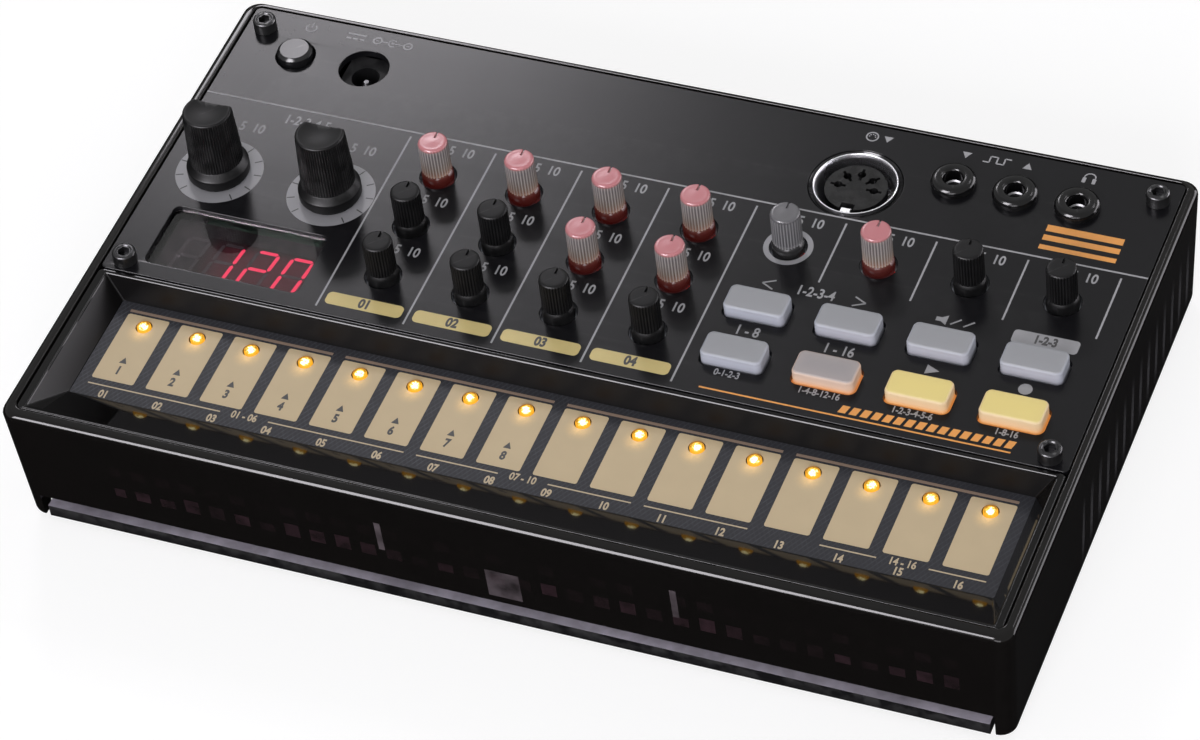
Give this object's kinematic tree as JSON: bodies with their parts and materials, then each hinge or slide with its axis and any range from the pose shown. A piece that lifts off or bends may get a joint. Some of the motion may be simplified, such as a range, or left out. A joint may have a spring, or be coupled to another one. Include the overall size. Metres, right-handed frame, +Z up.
{
  "type": "drum machine",
  "caption": "Compact table-top drum machine: sunken strip of touch pads, rows of fluted knobs, rubber keys, digit display and rear sockets in a smoked case.",
  "frame": {"origin": "centre of the footprint, on the plane that the rubber feet stand on", "axes": "+X to the player's right along the long side, +Y away from the player to the sockets, +Z up"},
  "size_m": [0.193, 0.115, 0.045],
  "materials": {
    "smoke_case": "polished smoke-tinted moulding",
    "base_plastic": "fine-grained moulding",
    "foot_rubber": "matt",
    "plain_screw": "zinc plated",
    "satin_panel": "satin dark grey with printed lines",
    "black_screw": "blackened cylinder head",
    "brass_insert": "knurled",
    "gloss_bezel": "mirror-polished black",
    "touch_plate": "dark slate board with tan plated pads",
    "amber_lamp": "lit diffuser",
    "circuit_board": "solder mask",
    "smoke_window": "dark red smoke filter",
    "dark_module": "moulded",
    "socket_plastic": "moulded",
    "plated_metal": "tin plated",
    "chrome_shell": "bright plated",
    "gold_contact": "plated",
    "control_body": "formed cover",
    "red_lamp": "lit diffuser",
    "cell_jacket": "printed jacket, left plain",
    "speaker_cone": "paper cone",
    "flex_film": "ribbon film",
    "button_plastic": "satin",
    "black_knob": "satin fluted moulding",
    "pink_clear_knob": "clear moulding lit red from below",
    "clear_knob": "clear moulding, unlit",
    "grey_rubber": "matt silicone",
    "glow_rubber": "matt silicone, lit low round its sides",
    "lit_rubber": "matt silicone, lit from below"
  },
  "bodies": {
    "case": {"case_frame": "smoke_case", "bottom_cover": "base_plastic", "rubber_feet": "foot_rubber", "base_screws": "plain_screw", "control_panel": "satin_panel", "panel_screws": "black_screw", "screw_inserts": "brass_insert", "key_bezel": "gloss_bezel", "touch_plate": "touch_plate", "key_leds": "amber_lamp", "touch_board": "circuit_board", "display_window": "smoke_window", "display_module": "dark_module", "main_board": "circuit_board", "io_board": "circuit_board", "dc_jack": "socket_plastic", "dc_pin": "plated_metal", "din_housing": "socket_plastic", "din_shell": "chrome_shell", "din_contacts": "gold_contact", "sync_in_jack": "socket_plastic", "sync_out_jack": "socket_plastic", "headphone_jack": "socket_plastic", "potentiometers": "control_body", "knob_lamps": "red_lamp", "button_switches": "dark_module", "power_switch": "dark_module", "battery_cells": "cell_jacket", "battery_contacts": "plated_metal", "speaker": "speaker_cone", "flex_cable": "flex_film", "board_screws": "plain_screw"},
    "time_knob": {"time_knob": "black_knob"},
    "depth_knob": {"depth_knob": "black_knob"},
    "kick_click_knob": {"kick_click_knob": "pink_clear_knob"},
    "kick_pitch_knob": {"kick_pitch_knob": "black_knob"},
    "kick_decay_knob": {"kick_decay_knob": "black_knob"},
    "snare_snap_knob": {"snare_snap_knob": "pink_clear_knob"},
    "snare_pitch_knob": {"snare_pitch_knob": "black_knob"},
    "snare_decay_knob": {"snare_decay_knob": "black_knob"},
    "tom_high_knob": {"tom_high_knob": "pink_clear_knob"},
    "tom_low_knob": {"tom_low_knob": "pink_clear_knob"},
    "tom_decay_knob": {"tom_decay_knob": "black_knob"},
    "closed_hat_knob": {"closed_hat_knob": "pink_clear_knob"},
    "open_hat_knob": {"open_hat_knob": "pink_clear_knob"},
    "hat_grain_knob": {"hat_grain_knob": "black_knob"},
    "speed_knob": {"speed_knob": "clear_knob"},
    "tempo_knob": {"tempo_knob": "pink_clear_knob"},
    "level_knob": {"level_knob": "black_knob"},
    "volume_knob": {"volume_knob": "black_knob"},
    "back_button": {"back_button": "grey_rubber"},
    "forward_button": {"forward_button": "grey_rubber"},
    "mute_button": {"mute_button": "grey_rubber"},
    "function_button": {"function_button": "grey_rubber"},
    "memory_button": {"memory_button": "grey_rubber"},
    "step_button": {"step_button": "glow_rubber"},
    "play_button": {"play_button": "lit_rubber"},
    "record_button": {"record_button": "lit_rubber"},
    "power_button": {"power_button": "button_plastic"},
    "battery_cover": {"battery_cover": "base_plastic"}
  },
  "joints": [
    {"name": "time_knob_turn", "type": "hinge", "parent": "case", "child": "time_knob", "pos_m": [-0.0826, 0.0117, 0.03], "axis": [0, 0, -1], "range_deg": [-140, 140]},
    {"name": "depth_knob_turn", "type": "hinge", "parent": "case", "child": "depth_knob", "pos_m": [-0.0594, 0.0117, 0.03], "axis": [0, 0, -1], "range_deg": [-140, 140]},
    {"name": "kick_click_knob_turn", "type": "hinge", "parent": "case", "child": "kick_click_knob", "pos_m": [-0.0415, 0.0216, 0.03], "axis": [0, 0, -1], "range_deg": [-140, 140]},
    {"name": "kick_pitch_knob_turn", "type": "hinge", "parent": "case", "child": "kick_pitch_knob", "pos_m": [-0.0415, 0.0081, 0.03], "axis": [0, 0, -1], "range_deg": [-140, 140]},
    {"name": "kick_decay_knob_turn", "type": "hinge", "parent": "case", "child": "kick_decay_knob", "pos_m": [-0.0415, -0.0054, 0.03], "axis": [0, 0, -1], "range_deg": [-140, 140]},
    {"name": "snare_snap_knob_turn", "type": "hinge", "parent": "case", "child": "snare_snap_knob", "pos_m": [-0.024, 0.0216, 0.03], "axis": [0, 0, -1], "range_deg": [-140, 140]},
    {"name": "snare_pitch_knob_turn", "type": "hinge", "parent": "case", "child": "snare_pitch_knob", "pos_m": [-0.024, 0.0081, 0.03], "axis": [0, 0, -1], "range_deg": [-140, 140]},
    {"name": "snare_decay_knob_turn", "type": "hinge", "parent": "case", "child": "snare_decay_knob", "pos_m": [-0.024, -0.0054, 0.03], "axis": [0, 0, -1], "range_deg": [-140, 140]},
    {"name": "tom_high_knob_turn", "type": "hinge", "parent": "case", "child": "tom_high_knob", "pos_m": [-0.0065, 0.0216, 0.03], "axis": [0, 0, -1], "range_deg": [-140, 140]},
    {"name": "tom_low_knob_turn", "type": "hinge", "parent": "case", "child": "tom_low_knob", "pos_m": [-0.0065, 0.0081, 0.03], "axis": [0, 0, -1], "range_deg": [-140, 140]},
    {"name": "tom_decay_knob_turn", "type": "hinge", "parent": "case", "child": "tom_decay_knob", "pos_m": [-0.0065, -0.0054, 0.03], "axis": [0, 0, -1], "range_deg": [-140, 140]},
    {"name": "closed_hat_knob_turn", "type": "hinge", "parent": "case", "child": "closed_hat_knob", "pos_m": [0.011, 0.0216, 0.03], "axis": [0, 0, -1], "range_deg": [-140, 140]},
    {"name": "open_hat_knob_turn", "type": "hinge", "parent": "case", "child": "open_hat_knob", "pos_m": [0.011, 0.0081, 0.03], "axis": [0, 0, -1], "range_deg": [-140, 140]},
    {"name": "hat_grain_knob_turn", "type": "hinge", "parent": "case", "child": "hat_grain_knob", "pos_m": [0.011, -0.0054, 0.03], "axis": [0, 0, -1], "range_deg": [-140, 140]},
    {"name": "speed_knob_turn", "type": "hinge", "parent": "case", "child": "speed_knob", "pos_m": [0.0285, 0.0216, 0.03], "axis": [0, 0, -1], "range_deg": [-140, 140]},
    {"name": "tempo_knob_turn", "type": "hinge", "parent": "case", "child": "tempo_knob", "pos_m": [0.046, 0.0216, 0.03], "axis": [0, 0, -1], "range_deg": [-140, 140]},
    {"name": "level_knob_turn", "type": "hinge", "parent": "case", "child": "level_knob", "pos_m": [0.0635, 0.0216, 0.03], "axis": [0, 0, -1], "range_deg": [-140, 140]},
    {"name": "volume_knob_turn", "type": "hinge", "parent": "case", "child": "volume_knob", "pos_m": [0.081, 0.0216, 0.03], "axis": [0, 0, -1], "range_deg": [-140, 140]},
    {"name": "back_button_press", "type": "slide", "parent": "case", "child": "back_button", "axis": [0, 0, -1], "range_m": [0, 0.0007], "stiffness_N_per_m": 400},
    {"name": "forward_button_press", "type": "slide", "parent": "case", "child": "forward_button", "axis": [0, 0, -1], "range_m": [0, 0.0007], "stiffness_N_per_m": 400},
    {"name": "mute_button_press", "type": "slide", "parent": "case", "child": "mute_button", "axis": [0, 0, -1], "range_m": [0, 0.0007], "stiffness_N_per_m": 400},
    {"name": "function_button_press", "type": "slide", "parent": "case", "child": "function_button", "axis": [0, 0, -1], "range_m": [0, 0.0007], "stiffness_N_per_m": 400},
    {"name": "memory_button_press", "type": "slide", "parent": "case", "child": "memory_button", "axis": [0, 0, -1], "range_m": [0, 0.0007], "stiffness_N_per_m": 400},
    {"name": "step_button_press", "type": "slide", "parent": "case", "child": "step_button", "axis": [0, 0, -1], "range_m": [0, 0.0007], "stiffness_N_per_m": 400},
    {"name": "play_button_press", "type": "slide", "parent": "case", "child": "play_button", "axis": [0, 0, -1], "range_m": [0, 0.0007], "stiffness_N_per_m": 400},
    {"name": "record_button_press", "type": "slide", "parent": "case", "child": "record_button", "axis": [0, 0, -1], "range_m": [0, 0.0007], "stiffness_N_per_m": 400},
    {"name": "power_button_press", "type": "slide", "parent": "case", "child": "power_button", "axis": [0, 0, -1], "range_m": [0, 0.0012], "stiffness_N_per_m": 300},
    {"name": "battery_cover_tilt", "type": "hinge", "parent": "case", "child": "battery_cover", "pos_m": [0, -0.02455, 0.00245], "axis": [-1, 0, 0], "range_deg": [0, 75]}
  ]
}
